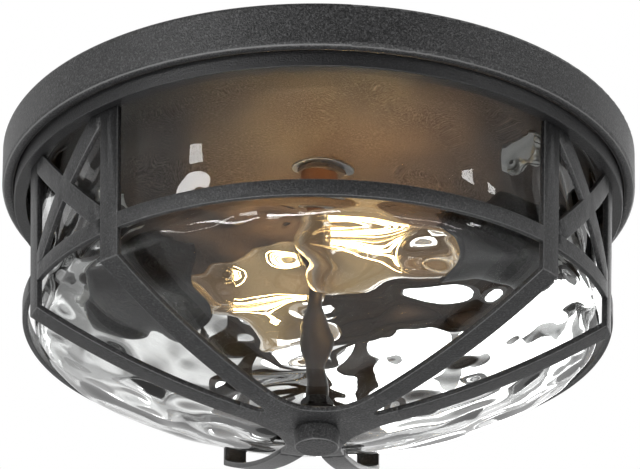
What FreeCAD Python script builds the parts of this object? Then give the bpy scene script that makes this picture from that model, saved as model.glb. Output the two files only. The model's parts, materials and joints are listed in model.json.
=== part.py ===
import FreeCAD, Part
import math
import os

# A round two-lamp ceiling light: a steel pan on the ceiling, a rippled glass bowl
# round two bulbs, and a welded cage of flat bar that carries the bowl on a centre rod.
# The origin is the middle of the ceiling face, +Z is up and all sizes are millimetres.

Vector = FreeCAD.Vector
ORIGIN = Vector(0, 0, 0)
UP = Vector(0, 0, 1)

# Ceiling pan, pressed from one sheet
pan_radius = 165.0
pan_taper = 0.5
pan_lower_radius = pan_radius - pan_taper
pan_depth = 24.3
pan_sheet = 1.2
pan_bend = 1.5
pan_lip_width = 6.2
pan_lip_radius = pan_lower_radius - pan_lip_width
pan_hem_height = 3.2
pan_flange_width = 8.0
deck_depth = 7.5
deck_slope_width = 4.0
wire_hole_radius = 4.5
wire_hole_reach = 33.0
wire_hole_angles_share = (0.14, 0.36)

# Crossbar that bolts to the ceiling box, with its slots and ground screw
bar_length = 112.0
bar_width = 22.0
bar_thickness = 2.5
bar_slot_spacing = 88.9
bar_slot_length = 14.0
bar_slot_radius = 2.3
ground_screw_reach = 22.0
ground_screw_radius = 2.0
ground_head_radius = 4.4
ground_head_height = 1.9

# Centre rod, its tube, nuts and washer
rod_radius = 4.8
rod_inset = 0.5
thread_clearance = 0.05
hole_clearance = 0.6
tube_radius = 5.8
tube_wall = 0.9
nut_across_flats = 14.3
nut_height = 4.0
bar_nut_height = 3.4
pan_washer_radius = 12.5
pan_washer_thickness = 1.5

# Lamp holders: one behind the rod on the left, one before it on the right
lamp_depth = 64.0
lamp_offset = 34.0
cup_mouth_inset = 103.0
cup_mouth_reach = pan_radius - cup_mouth_inset
cup_length = 58.0
cup_radius = 22.0
cup_mouth_radius = 22.8
cup_rim_width = 2.2
cup_sheet = 1.0
cup_back_rounding = 7.0
bracket_sheet = 1.6
bracket_width = 22.0
bracket_foot_length = 24.0
bracket_bend = 2.0
bracket_screw_spacing = 12.0
nipple_reach = 8.5
nipple_projection = 5.5
holder_nut_height = 3.4
holder_radius = 18.5
holder_length = 52.0
holder_seat = 0.3
holder_floor = 27.5
shell_radius = 13.9
shell_wall = 0.5
contact_width = 6.0
contact_thickness = 0.6
contact_gap = 0.3
screw_radius = 2.0
screw_head_radius = 3.9
screw_head_height = 2.3
small_nut_flats = 7.0
small_nut_height = 2.6

# Clear filament bulb, measured along its own axis from the contact
bulb_seat = 32.0
bulb_length = 100.0
globe_radius = 27.5
neck_radius = 13.6
neck_start = 26.3
neck_end = 31.0
collar_start = 20.0
bulb_wall = 1.0
cap_radius = 13.1
cap_wall = 0.4
cap_fit = 0.1
cap_start = 4.5
cap_end = 26.0
cap_cone_height = 2.4
eyelet_radius = 4.6
eyelet_height = 1.4
insulator_radius = 11.0
stem_flare_radius = 11.0
stem_neck_radius = 3.4
stem_start = 23.0
stem_waist = 37.0
stem_shoulder = 45.0
stem_tip_gap = 16.0
stem_end = bulb_length - stem_tip_gap
stem_post_radius = 1.5
filament_radius = 1.1
filament_start = 48.0
filament_tip_gap = 18.0
filament_end = bulb_length - filament_tip_gap
filament_foot_reach = 10.5
filament_head_reach = 4.6
filament_count = 6
support_wire_radius = 0.4

# Welded cage of flat bar
ring_clearance = 0.3
ring_radius = pan_lip_radius - ring_clearance
ring_width = 6.2
ring_inner_radius = ring_radius - ring_width
ring_height = 7.3
ring_bottom_depth = 32.0
ring_rounding = 0.6
basket_inset = 4.5
basket_top_radius = ring_radius - basket_inset
basket_taper = 3.0
fold_radius = basket_top_radius - basket_taper
hub_bottom_depth = 154.0
fold_rise = 40.7
fold_depth = hub_bottom_depth - fold_rise
arm_sag = 5.5
bar_stock = 3.0
strap_width = 12.0
brace_width = 10.0
hoop_fold_gap = 23.3
hoop_top_depth = fold_depth - hoop_fold_gap
hoop_height = 8.4
hub_flat_radius = 24.0
hub_seam_radius = 43.0
hub_open_rounding = 34.0
hub_crotch_rounding = 2.4
cage_sides = 3
pair_half_angle = 14.1
hub_hole_clearance = 0.7

# Glass bowl and its rubber washer, and the tube that ends above the bowl's floor
glass_clearance = 12.8
glass_radius = pan_lip_radius - glass_clearance
glass_top_depth = 21.0
glass_hub_gap = 8.0
glass_bottom_depth = hub_bottom_depth - glass_hub_gap
glass_dome_share = 1.684
glass_dome_radius = glass_radius * glass_dome_share
glass_shoulder_radius = 28.0
glass_wall = 4.0
glass_flat_radius = 12.0
glass_hole_radius = 6.2
rubber_radius = 14.5
rubber_seat = 0.3
tube_glass_gap = 10.0
tube_end_depth = glass_bottom_depth - tube_glass_gap

# Finial knob
knob_radius = 11.4
knob_height = 10.5
knob_rounding = 1.6
knob_neck_height = 1.2
knob_neck_radius = 10.4
knob_seat = 0.2
knob_bore_depth = 7.5
rod_end_gap = 1.7
rod_end_depth = hub_bottom_depth + knob_seat + knob_bore_depth - rod_end_gap

# Overrun that carries a cutting shape clear of what it cuts, and the least length of an edge
overrun = 5.0
join_tolerance = 0.000001


def rounded_wire(corners):
    """Closed wire through (point, rounding) corners, each rounding a tangent arc."""
    spans = []
    for index, (here, rounding) in enumerate(corners):
        back = (corners[index - 1][0] - here).normalize()
        ahead = (corners[(index + 1) % len(corners)][0] - here).normalize()
        if rounding == 0:
            spans.append((here, None, here))
            continue
        half = back.getAngle(ahead) / 2
        middle_way = (back + ahead).normalize()
        setback = rounding / math.tan(half)
        arc_middle = here + middle_way * (rounding / math.sin(half) - rounding)
        spans.append((here + back * setback, arc_middle, here + ahead * setback))
    edges = []
    for index, (start, middle, end) in enumerate(spans):
        if middle is not None:
            edges.append(Part.Arc(start, middle, end).toShape())
        following = spans[(index + 1) % len(spans)][0]
        if (following - end).Length > join_tolerance:
            edges.append(Part.makeLine(end, following))
    return Part.Wire(edges)


def profile_point(radius, height):
    """Point of a turned profile, in the XZ plane."""
    return Vector(radius, 0, height)


def turned(corners):
    """Solid of revolution about Z of (radius, height, rounding) corners."""
    placed = [(profile_point(radius, height), rounding) for radius, height, rounding in corners]
    face = Part.Face(rounded_wire(placed))
    return face.revolve(ORIGIN, UP, 360)


def sheet_corners(path, thickness):
    """Outline of bent sheet: path is one face, the other lies to its left.

    A bend is given by its inner radius, so the outer face turns on a larger one.
    """
    points = [profile_point(radius, height) for radius, height, bend in path]
    near = []
    far = []
    for index, (radius, height, bend) in enumerate(path):
        here = points[index]
        before = here - points[index - 1] if index > 0 else points[1] - here
        after = points[index + 1] - here if index + 1 < len(points) else before
        before.normalize()
        after.normalize()
        left_before = Vector(-before.z, 0, before.x)
        left_after = Vector(-after.z, 0, after.x)
        shift = (left_before + left_after) * (thickness / (1 + left_before.dot(left_after)))
        turns_left = before.x * after.z - before.z * after.x > 0
        wide = bend + thickness if bend > 0 else 0
        near.append((here.x, here.z, wide if turns_left else bend))
        moved = here + shift
        far.append((moved.x, moved.z, bend if turns_left else wide))
    return near + far[::-1]


def disc(radius, top, bottom):
    """Upright cylinder between two heights."""
    return Part.makeCylinder(radius, top - bottom, Vector(0, 0, bottom))


def washer(outer, inner, top, bottom):
    """Upright ring of rectangular section."""
    return disc(outer, top, bottom).cut(disc(inner, top + overrun, bottom - overrun))


def hexagon(across_flats, top, bottom):
    """Upright hexagonal prism."""
    reach = across_flats / math.sqrt(3)
    angles = [math.radians(60 * step) for step in range(7)]
    points = [Vector(reach * math.cos(angle), reach * math.sin(angle), bottom) for angle in angles]
    return Part.Face(Part.makePolygon(points)).extrude(Vector(0, 0, top - bottom))


def hex_nut(across_flats, hole, top, bottom):
    """Hexagonal nut with its corners turned off at both faces."""
    reach = across_flats / math.sqrt(3)
    chamfer = (reach - across_flats / 2) / math.sqrt(3)
    barrel = turned([(0, bottom, 0), (across_flats / 2, bottom, 0), (reach, bottom + chamfer, 0),
                     (reach, top - chamfer, 0), (across_flats / 2, top, 0), (0, top, 0)])
    return hexagon(across_flats, top, bottom).common(barrel).cut(disc(hole, top + overrun, bottom - overrun))


def moved(shape, x, y, z=0):
    """Copy of a shape, shifted."""
    copy = shape.copy()
    copy.translate(Vector(x, y, z))
    return copy


def spun(shape, degrees):
    """Copy of a shape, turned about Z."""
    copy = shape.copy()
    copy.rotate(ORIGIN, UP, degrees)
    return copy


# Heights that the stack on the centre rod shares
bar_bottom = -bar_thickness
deck_top = -deck_depth
deck_bottom = deck_top - pan_sheet
washer_bottom = deck_bottom - pan_washer_thickness
pan_nut_bottom = washer_bottom - nut_height
tube_bottom = -tube_end_depth
tube_nut_bottom = tube_bottom - nut_height
hub_bottom = -hub_bottom_depth
hub_top = hub_bottom + bar_stock
rod_hole = rod_radius + hole_clearance


def bracket_screw_places():
    """Plan positions of the four bracket screws."""
    middle = cup_mouth_reach + cup_length + bracket_sheet - bracket_foot_length / 2
    reach = middle - bracket_sheet
    half = bracket_screw_spacing / 2
    places = []
    for side in (-1, 1):
        for step in (-half, half):
            places.append((side * reach, -side * lamp_offset + step))
    return places


def wire_hole_places():
    """Plan positions of the two wire bushings in the deck."""
    places = []
    for share in wire_hole_angles_share:
        angle = 2 * math.pi * share
        places.append((wire_hole_reach * math.cos(angle), wire_hole_reach * math.sin(angle)))
    return places


def make_ceiling_pan():
    """Pan wall with a hemmed lip, flat ceiling flange and recessed deck."""
    flange_inner = pan_radius - pan_flange_width
    path = [(pan_lip_radius, pan_hem_height - pan_depth, 0),
            (pan_lip_radius, -pan_depth, pan_bend),
            (pan_lower_radius, -pan_depth, pan_bend),
            (pan_radius, 0, pan_bend),
            (flange_inner, 0, pan_bend),
            (flange_inner - deck_slope_width, deck_top, pan_bend),
            (rod_hole, deck_top, 0)]
    pan = turned(sheet_corners(path, pan_sheet))
    for x, y in bracket_screw_places():
        pan = pan.cut(moved(disc(screw_radius + thread_clearance, 0, deck_bottom - overrun), x, y))
    for x, y in wire_hole_places():
        pan = pan.cut(moved(disc(wire_hole_radius, 0, deck_bottom - overrun), x, y))
    return pan


def make_wire_bushings():
    """Two snap-in bushings whose flanges grip the deck from both sides."""
    lip = pan_sheet
    bore = wire_hole_radius - pan_sheet
    shapes = []
    for x, y in wire_hole_places():
        sleeve = washer(wire_hole_radius - thread_clearance, bore, deck_top + lip, deck_bottom - lip)
        upper = washer(wire_hole_radius + lip, bore, deck_top + lip, deck_top)
        lower = washer(wire_hole_radius + lip, bore, deck_bottom, deck_bottom - lip)
        shapes.append(moved(sleeve.fuse([upper, lower]).removeSplitter(), x, y))
    return Part.makeCompound(shapes)


def stadium(half_spacing, radius, top, bottom):
    """Prism with two straight sides and round ends, along X."""
    ends = [moved(disc(radius, top, bottom), side * half_spacing, 0) for side in (-1, 1)]
    middle = Part.makeBox(2 * half_spacing, 2 * radius, top - bottom, Vector(-half_spacing, -radius, bottom))
    return middle.fuse(ends).removeSplitter()


def make_crossbar():
    """Flat bar with round ends, a tapped centre and a slot near each end."""
    end_radius = bar_width / 2
    bar = stadium(bar_length / 2 - end_radius, end_radius, 0, bar_bottom)
    slot = stadium(bar_slot_length / 2 - bar_slot_radius, bar_slot_radius, overrun, bar_bottom - overrun)
    bar = bar.cut([moved(slot, side * bar_slot_spacing / 2, 0) for side in (-1, 1)])
    bar = bar.cut(disc(rod_radius + thread_clearance, overrun, bar_bottom - overrun))
    ground_hole = disc(ground_screw_radius + thread_clearance, overrun, bar_bottom - overrun)
    return bar.cut(moved(ground_hole, ground_screw_reach, 0))


def make_ground_screw():
    """Ground screw driven up into the crossbar, with a slotted hexagonal head."""
    head_bottom = bar_bottom - ground_head_height
    head = hexagon(2 * ground_head_radius, bar_bottom, head_bottom)
    slot_width = ground_screw_radius / 2
    slot = Part.makeBox(4 * ground_head_radius, slot_width, ground_head_height / 2,
                        Vector(-2 * ground_head_radius, -slot_width / 2, head_bottom))
    screw = head.cut(slot).fuse(disc(ground_screw_radius, -rod_inset, bar_bottom)).removeSplitter()
    return moved(screw, ground_screw_reach, 0)


def make_center_rod():
    """Threaded rod from the crossbar down into the knob."""
    end_rounding = rod_radius / 6
    return turned([(0, -rod_inset, 0), (0, -rod_end_depth, 0), (rod_radius, -rod_end_depth, end_rounding),
                   (rod_radius, -rod_inset, 0)])


def make_rod_tube():
    """Smooth tube over the rod, between the pan nut and the lower nut."""
    return washer(tube_radius, tube_radius - tube_wall, pan_nut_bottom, tube_bottom)


def make_rod_nuts():
    """Nuts under the crossbar, under the pan and at the foot of the tube."""
    hole = rod_radius + thread_clearance
    return Part.makeCompound([hex_nut(nut_across_flats, hole, bar_bottom, bar_bottom - bar_nut_height),
                              hex_nut(nut_across_flats, hole, washer_bottom, pan_nut_bottom),
                              hex_nut(nut_across_flats, hole, tube_bottom, tube_nut_bottom)])


def make_pan_washer():
    """Dished steel washer that spreads the pan nut's load."""
    rounding = pan_washer_thickness / 2
    return turned([(rod_hole, deck_bottom, 0), (rod_hole, washer_bottom, 0),
                   (pan_washer_radius, washer_bottom, rounding), (pan_washer_radius, deck_bottom, 0)])


def on_lamp_axis(shape, side):
    """Place a shape made along +Z, from the cup's back, on a lamp's axis.

    Side -1 is the left lamp, which points to +X; side 1 is the right one.
    """
    copy = shape.copy()
    copy.rotate(ORIGIN, Vector(0, 1, 0), -side * 90)
    copy.translate(Vector(side * (cup_mouth_reach + cup_length), -side * lamp_offset, -lamp_depth))
    return copy


def make_socket_bracket(side):
    """Bent strip: a foot under the deck and a leg behind the cup with a round end."""
    half = bracket_width / 2
    leg_x = cup_mouth_reach + cup_length
    foot_x = leg_x + bracket_sheet - bracket_foot_length
    outer_x = leg_x + bracket_sheet
    path = [(outer_x, -lamp_depth - half, 0), (outer_x, deck_bottom, bracket_bend), (foot_x, deck_bottom, 0)]
    outline = [(profile_point(x, z), bend) for x, z, bend in sheet_corners(path, bracket_sheet)]
    strip = Part.Face(rounded_wire(outline)).extrude(Vector(0, bracket_width, 0))
    strip.translate(Vector(0, -half, 0))
    keep_leg = Part.makeCylinder(half, bracket_foot_length, Vector(foot_x, 0, -lamp_depth), Vector(1, 0, 0))
    keep_top = Part.makeBox(bracket_foot_length + overrun, bracket_width, lamp_depth,
                            Vector(foot_x, -half, -lamp_depth))
    strip = strip.common(keep_leg.fuse(keep_top))
    strip = strip.cut(Part.makeCylinder(rod_radius + thread_clearance, 2 * overrun,
                                        Vector(leg_x - overrun, 0, -lamp_depth), Vector(1, 0, 0)))
    strip.translate(Vector(0, -lamp_offset, 0))
    if side < 0:
        strip.rotate(ORIGIN, UP, 180)
    holes = [moved(disc(screw_radius + thread_clearance, 0, deck_bottom - 2 * overrun), x, y)
             for x, y in bracket_screw_places()]
    return strip.cut(holes)


def make_bracket_screws():
    """Four round-headed screws, up through bracket feet and deck."""
    head_top = deck_bottom - bracket_sheet
    head_bottom = head_top - screw_head_height
    tip = deck_top + small_nut_height
    screw = turned([(0, head_bottom, 0), (screw_head_radius, head_bottom, screw_head_height * 0.6),
                    (screw_head_radius, head_top, 0), (screw_radius, head_top, 0),
                    (screw_radius, tip, 0), (0, tip, 0)])
    slot = Part.makeBox(2 * screw_head_radius, screw_radius / 2, screw_head_height / 2,
                        Vector(-screw_head_radius, -screw_radius / 4, head_bottom))
    screw = screw.cut(slot)
    return Part.makeCompound([moved(screw, x, y) for x, y in bracket_screw_places()])


def make_bracket_nuts():
    """Four small nuts on the upper side of the deck."""
    nut = hex_nut(small_nut_flats, screw_radius + thread_clearance, deck_top + small_nut_height, deck_top)
    return Part.makeCompound([moved(nut, x, y) for x, y in bracket_screw_places()])


def make_socket_nipple(side):
    """Threaded nipple through bracket leg, cup and holder."""
    nipple = washer(rod_radius, rod_radius / 2, nipple_reach, -bracket_sheet - nipple_projection)
    return on_lamp_axis(nipple, side)


def make_socket_nuts():
    """Nuts on the nipples, behind the bracket legs."""
    nut = hex_nut(nut_across_flats, rod_radius + thread_clearance, -bracket_sheet, -bracket_sheet - holder_nut_height)
    return Part.makeCompound([on_lamp_axis(nut, side) for side in (-1, 1)])


def make_socket_cup(side):
    """Spun steel cup that hides the holder, wider at its beaded mouth."""
    bead = cup_rim_width
    path = [(rod_radius + thread_clearance, 0, 0),
            (cup_radius, 0, cup_back_rounding),
            (cup_radius, cup_length - 2 * bead, bead / 2),
            (cup_mouth_radius, cup_length - bead, bead / 2),
            (cup_mouth_radius, cup_length, 0)]
    return on_lamp_axis(turned(sheet_corners(path, cup_sheet)), side)


def make_socket_body(side):
    """Moulded holder inside the cup, bored for the screw shell."""
    back = cup_sheet + holder_seat
    back_rounding = cup_back_rounding - cup_sheet
    front_rounding = holder_radius / 8
    bore = shell_radius + holder_seat
    body = turned([(rod_radius + thread_clearance, back, 0), (holder_radius, back, back_rounding),
                   (holder_radius, back + holder_length, front_rounding),
                   (bore, back + holder_length, 0), (bore, holder_floor, 0),
                   (rod_radius + thread_clearance, holder_floor, 0)])
    return on_lamp_axis(body, side)


def make_socket_shell(side):
    """Threaded metal shell that takes the bulb's cap, with rolled thread rings."""
    floor = holder_floor + contact_thickness
    top = cup_sheet + holder_seat + holder_length
    shell = washer(shell_radius, shell_radius - shell_wall, top, floor)
    return on_lamp_axis(shell, side)


def make_socket_contact(side):
    """Brass centre tongue on the holder's floor, bowed up towards the bulb."""
    top = bulb_seat - contact_gap
    foot = holder_floor
    reach = shell_radius - shell_wall - holder_seat
    half = contact_width / 2
    points = [Vector(-reach, 0, foot), Vector(0, 0, top - contact_thickness), Vector(reach, 0, foot)]
    lower = Part.Arc(*points).toShape()
    upper_points = [point + Vector(0, 0, contact_thickness) for point in points]
    upper = Part.Arc(*upper_points).toShape()
    sides = [Part.makeLine(points[0], upper_points[0]), Part.makeLine(points[2], upper_points[2])]
    face = Part.Face(Part.Wire(Part.__sortEdges__([lower, upper] + sides)))
    tongue = face.extrude(Vector(0, contact_width, 0))
    tongue.translate(Vector(0, -half, 0))
    return on_lamp_axis(tongue, side)


def bulb_curve(inset):
    """Edges of the bulb's outline from neck to tip, all drawn in by inset.

    The neck runs by a concave arc into the globe; inset keeps the arcs' centres.
    """
    globe_height = bulb_length - globe_radius
    rise = globe_height - neck_end
    flare = (neck_radius ** 2 + rise ** 2 - globe_radius ** 2) / (2 * (globe_radius - neck_radius))
    flare_centre = profile_point(neck_radius + flare, neck_end)
    globe_centre = profile_point(0, globe_height)
    way = (globe_centre - flare_centre).normalize()
    join = flare_centre + way * (flare + inset)
    flare_middle = flare_centre + (way + Vector(-1, 0, 0)).normalize() * (flare + inset)
    globe_way = (join - globe_centre).normalize()
    globe_middle = globe_centre + (globe_way + UP).normalize() * (globe_radius - inset)
    foot = profile_point(neck_radius - inset, neck_start + inset)
    neck_top = profile_point(neck_radius - inset, neck_end)
    tip = profile_point(0, bulb_length - inset)
    return [Part.makeLine(foot, neck_top), Part.Arc(neck_top, flare_middle, join).toShape(),
            Part.Arc(join, globe_middle, tip).toShape()]


def on_bulb_axis(shape, side):
    """Place a shape made along +Z from the bulb's contact in its lamp."""
    return on_lamp_axis(moved(shape, 0, 0, bulb_seat), side)


def make_bulb_envelope(side):
    """Blown glass envelope with a collar that the metal cap holds."""
    outer = bulb_curve(0)
    inner = bulb_curve(bulb_wall)
    collar = cap_radius - cap_wall - cap_fit
    foot = [profile_point(neck_radius, neck_start), profile_point(collar, neck_start),
            profile_point(collar, collar_start), profile_point(collar - bulb_wall, collar_start),
            profile_point(collar - bulb_wall, neck_start + bulb_wall),
            profile_point(neck_radius - bulb_wall, neck_start + bulb_wall)]
    foot_edges = [Part.makeLine(start, end) for start, end in zip(foot, foot[1:])]
    tip = Part.makeLine(profile_point(0, bulb_length), profile_point(0, bulb_length - bulb_wall))
    wire = Part.Wire(Part.__sortEdges__(outer + inner + foot_edges + [tip]))
    return on_bulb_axis(Part.Face(wire).revolve(ORIGIN, UP, 360), side)


def make_bulb_cap(side):
    """Thin metal cap, coned in at its foot."""
    path = [(insulator_radius, cap_start, 0), (cap_radius, cap_start + cap_cone_height, cap_wall),
            (cap_radius, cap_end, 0)]
    return on_bulb_axis(turned(sheet_corners(path, cap_wall)), side)


def make_bulb_insulator(side):
    """Dark moulded cone between cap and eyelet."""
    top = cap_start + cap_wall
    inner = insulator_radius - cap_wall - cap_fit
    cone = turned([(0, eyelet_height, 0), (eyelet_radius, eyelet_height, 0), (inner, cap_start, 0),
                   (inner, top, 0), (0, top, 0)])
    return on_bulb_axis(cone, side)


def make_bulb_eyelet(side):
    """Solder contact at the bulb's foot, slightly crowned."""
    rounding = eyelet_height * 0.8
    eyelet = turned([(0, 0, 0), (eyelet_radius, 0, rounding), (eyelet_radius, eyelet_height, 0),
                     (0, eyelet_height, 0)])
    return on_bulb_axis(eyelet, side)


def stem_shape():
    """Pressed glass stem: a flared skirt, a waist and a slim post."""
    wall = bulb_wall
    return turned([(stem_flare_radius - wall, stem_start, 0), (stem_flare_radius, stem_start, wall / 3),
                   (stem_neck_radius, stem_waist, stem_neck_radius), (stem_neck_radius, stem_shoulder, wall / 2),
                   (stem_post_radius, stem_shoulder, 0), (stem_post_radius, stem_end, stem_post_radius / 2),
                   (0, stem_end, 0), (0, stem_waist, 0)])


def filament_ends(index):
    """Foot and head of one filament strip."""
    angle = 2 * math.pi * (index + 0.5) / filament_count
    outward = Vector(math.cos(angle), math.sin(angle), 0)
    foot = outward * filament_foot_reach + Vector(0, 0, filament_start)
    head = outward * filament_head_reach + Vector(0, 0, filament_end)
    return foot, head


def rod_between(start, end, radius):
    """Round rod from one point to another."""
    return Part.makeCylinder(radius, (end - start).Length, start, end - start)


def filament_shapes():
    """Straight filament strips that lean in towards the bulb's tip."""
    return [rod_between(*filament_ends(index), filament_radius) for index in range(filament_count)]


def make_bulb_wires(side):
    """Support wires from the stem to each end of every filament strip."""
    neighbours = [stem_shape()] + filament_shapes()
    wires = []
    for index in range(filament_count):
        foot, head = filament_ends(index)
        root = Vector(0, 0, stem_shoulder - support_wire_radius * 4)
        crown = Vector(0, 0, stem_end - support_wire_radius * 4)
        for start, end in ((root, foot), (crown, head)):
            wires.append(rod_between(start, end, support_wire_radius).cut(neighbours))
    return on_bulb_axis(Part.makeCompound([solid for wire in wires for solid in wire.Solids[:1]]), side)


def glass_outline(inset):
    """Edges of the bowl's outline from rim to foot, all drawn in by inset.

    A straight wall, a round shoulder and a shallow dome meet in tangents.
    """
    dome_centre_height = glass_dome_radius - glass_bottom_depth
    shoulder_reach = glass_radius - glass_shoulder_radius
    centres_apart = glass_dome_radius - glass_shoulder_radius
    shoulder_height = dome_centre_height - math.sqrt(centres_apart ** 2 - shoulder_reach ** 2)
    dome_centre = profile_point(0, dome_centre_height)
    shoulder_centre = profile_point(shoulder_reach, shoulder_height)
    way = (shoulder_centre - dome_centre).normalize()
    join = shoulder_centre + way * (glass_shoulder_radius - inset)
    shoulder_middle = shoulder_centre + (way + Vector(1, 0, 0)).normalize() * (glass_shoulder_radius - inset)
    dome_radius = glass_dome_radius - inset
    flat_height = dome_centre_height - math.sqrt(dome_radius ** 2 - glass_flat_radius ** 2)
    flat_edge = profile_point(glass_flat_radius, flat_height)
    dome_middle = dome_centre + ((join - dome_centre).normalize()
                                 + (flat_edge - dome_centre).normalize()).normalize() * dome_radius
    rim = profile_point(glass_radius - inset, -glass_top_depth)
    wall_foot = profile_point(glass_radius - inset, shoulder_height)
    hole_edge = profile_point(glass_hole_radius, flat_height)
    edges = [Part.makeLine(rim, wall_foot), Part.Arc(wall_foot, shoulder_middle, join).toShape(),
             Part.Arc(join, dome_middle, flat_edge).toShape(), Part.makeLine(flat_edge, hole_edge)]
    return edges, rim, hole_edge


def glass_flat_height():
    """Height of the bowl's ground flat, where the rubber washer bears."""
    edges, rim, hole_edge = glass_outline(0)
    return hole_edge.z


def make_glass_bowl():
    """Thick pressed glass bowl with a rounded rim and a hole for the rod."""
    outer, outer_rim, outer_hole = glass_outline(0)
    inner, inner_rim, inner_hole = glass_outline(glass_wall)
    ends = [Part.makeLine(outer_rim, inner_rim), Part.makeLine(outer_hole, inner_hole)]
    wire = Part.Wire(Part.__sortEdges__(outer + inner + ends))
    bowl = Part.Face(wire).revolve(ORIGIN, UP, 360)
    rim_edges = [edge for edge in bowl.Edges
                 if edge.BoundBox.ZLength < join_tolerance
                 and abs(edge.BoundBox.ZMax + glass_top_depth) < join_tolerance]
    return bowl.makeFillet(glass_wall * 0.4, rim_edges)


def make_glass_washer():
    """Thick rubber washer between the bowl's flat and the cage hub."""
    top = glass_flat_height()
    bottom = hub_top + rubber_seat
    rounding = (top - bottom) / 4
    return turned([(rod_hole, bottom, 0), (rubber_radius, bottom, rounding), (rubber_radius, top, rounding),
                   (rod_hole, top, 0)])


def make_cage_top_ring():
    """Flat ring that the straps hang from, just under the pan's lip."""
    top = ring_height - ring_bottom_depth
    bottom = -ring_bottom_depth
    return turned([(ring_inner_radius, bottom, 0), (ring_radius, bottom, ring_rounding),
                   (ring_radius, top, ring_rounding), (ring_inner_radius, top, 0)])


def basket_solid(inset, rise):
    """Solid inside the cage's faces, drawn in by inset and carried up by rise.

    A slightly tapered wall is folded into a shallow bowed floor with a flat hub.
    """
    top = profile_point(basket_top_radius, -ring_bottom_depth)
    fold = profile_point(fold_radius, -fold_depth)
    hub = profile_point(hub_flat_radius, hub_bottom)
    wall_way = (fold - top).normalize()
    wall_in = Vector(wall_way.z, 0, -wall_way.x)
    chord = hub - fold
    chord_in = Vector(chord.z, 0, -chord.x).normalize()
    bow_radius = ((chord.Length / 2) ** 2 + arm_sag ** 2) / (2 * arm_sag)
    bow_middle = fold + chord / 2 - chord_in * arm_sag
    bow_centre = bow_middle + chord_in * bow_radius
    floor_in = (bow_centre - fold).normalize()
    inner_fold = fold + (wall_in + floor_in) * (inset / (1 + wall_in.dot(floor_in)))
    inner_top = top + wall_in * inset - wall_way * rise
    inner_hub = hub + UP * inset
    axis_top = profile_point(0, inner_top.z)
    axis_foot = profile_point(0, inner_hub.z)
    edges = [Part.makeLine(axis_top, inner_top), Part.makeLine(inner_top, inner_fold),
             Part.Arc(inner_fold, bow_middle + chord_in * inset, inner_hub).toShape(),
             Part.makeLine(inner_hub, axis_foot), Part.makeLine(axis_foot, axis_top)]
    return Part.Face(Part.Wire(edges)).revolve(ORIGIN, UP, 360)


def make_basket_wall():
    """Whole turned shell that every flat bar of the cage is cut from."""
    wall = basket_solid(0, overrun).cut(basket_solid(bar_stock, 2 * overrun))
    reach = ring_radius + overrun
    return wall.cut(disc(reach, 2 * overrun - ring_bottom_depth, -ring_bottom_depth))


def strap_angles():
    """Angles of the six straps: a close pair on each of three sides."""
    angles = []
    for side in range(cage_sides):
        middle = 90 + 360 * side / cage_sides
        angles += [middle - pair_half_angle, middle + pair_half_angle]
    return angles


def strap_block(angle, start):
    """Upright block that holds one radial strap, from a start radius outwards."""
    reach = ring_radius + overrun
    floor = hub_bottom - overrun
    block = Part.makeBox(reach - start, strap_width, -ring_bottom_depth - floor,
                         Vector(start, -strap_width / 2, floor))
    return spun(block, angle)


def make_cage_strap(wall, angle):
    """One flat bar: upright strap, fold and bowed arm down to the hub's seam."""
    return wall.common(strap_block(angle, hub_seam_radius))


def hub_outline():
    """Plan outline of the hub: six stubs with hollow curves between them."""
    half_width = strap_width / 2
    angles = strap_angles()
    corners = []
    for index, angle in enumerate(angles):
        way = Vector(math.cos(math.radians(angle)), math.sin(math.radians(angle)), 0)
        across = Vector(-way.y, way.x, 0) * half_width
        corners.append((way * hub_seam_radius - across, 0))
        corners.append((way * hub_seam_radius + across, 0))
        gap = (angles[(index + 1) % len(angles)] - angle) % 360
        middle = math.radians(angle + gap / 2)
        crotch = half_width / math.sin(math.radians(gap / 2))
        rounding = hub_crotch_rounding if index % 2 == 0 else hub_open_rounding
        corners.append((Vector(math.cos(middle), math.sin(middle), 0) * crotch, rounding))
    return rounded_wire(corners)


def make_cage_hub(wall):
    """Dished hub plate that gathers the six arms round the rod."""
    plan = Part.Face(hub_outline())
    plan.translate(Vector(0, 0, hub_bottom - overrun))
    prism = plan.extrude(Vector(0, 0, hub_bottom_depth - ring_bottom_depth))
    bore = disc(rod_radius + hub_hole_clearance, hub_top + overrun, hub_bottom - overrun)
    return wall.common(prism).cut(bore)


def make_cage_brace(wall, side):
    """Crossed bars that fill the upper panel between one pair of straps."""
    middle = 90 + 360 * side / cage_sides
    top = -ring_bottom_depth
    bottom = -hoop_top_depth
    half_angle = math.radians(pair_half_angle)
    reach = (basket_top_radius + fold_radius) / 2
    corner = reach * math.sin(half_angle) - strap_width / 2 * math.cos(half_angle)
    bars = []
    for slope in (-1, 1):
        start = Vector(0, -slope * corner, top)
        end = Vector(0, slope * corner, bottom)
        along = (end - start).normalize()
        across = Vector(0, -along.z, along.y) * (brace_width / 2)
        start = start - along * brace_width
        end = end + along * brace_width
        outline = Part.makePolygon([start - across, end - across, end + across, start + across, start - across])
        bars.append(Part.Face(outline).extrude(Vector(ring_radius, 0, 0)))
    window = Part.makeBox(ring_radius, 2 * ring_radius, top - bottom, Vector(0, -ring_radius, bottom))
    cross = spun(bars[0].fuse(bars[1]).common(window), middle)
    edges = [strap_block(middle + turn, 0) for turn in (-pair_half_angle, pair_half_angle)]
    beyond = [spun(strap_block(middle + turn, 0), turn / 2) for turn in (-pair_half_angle, pair_half_angle)]
    return wall.common(cross).cut(edges + beyond).removeSplitter()


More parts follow.
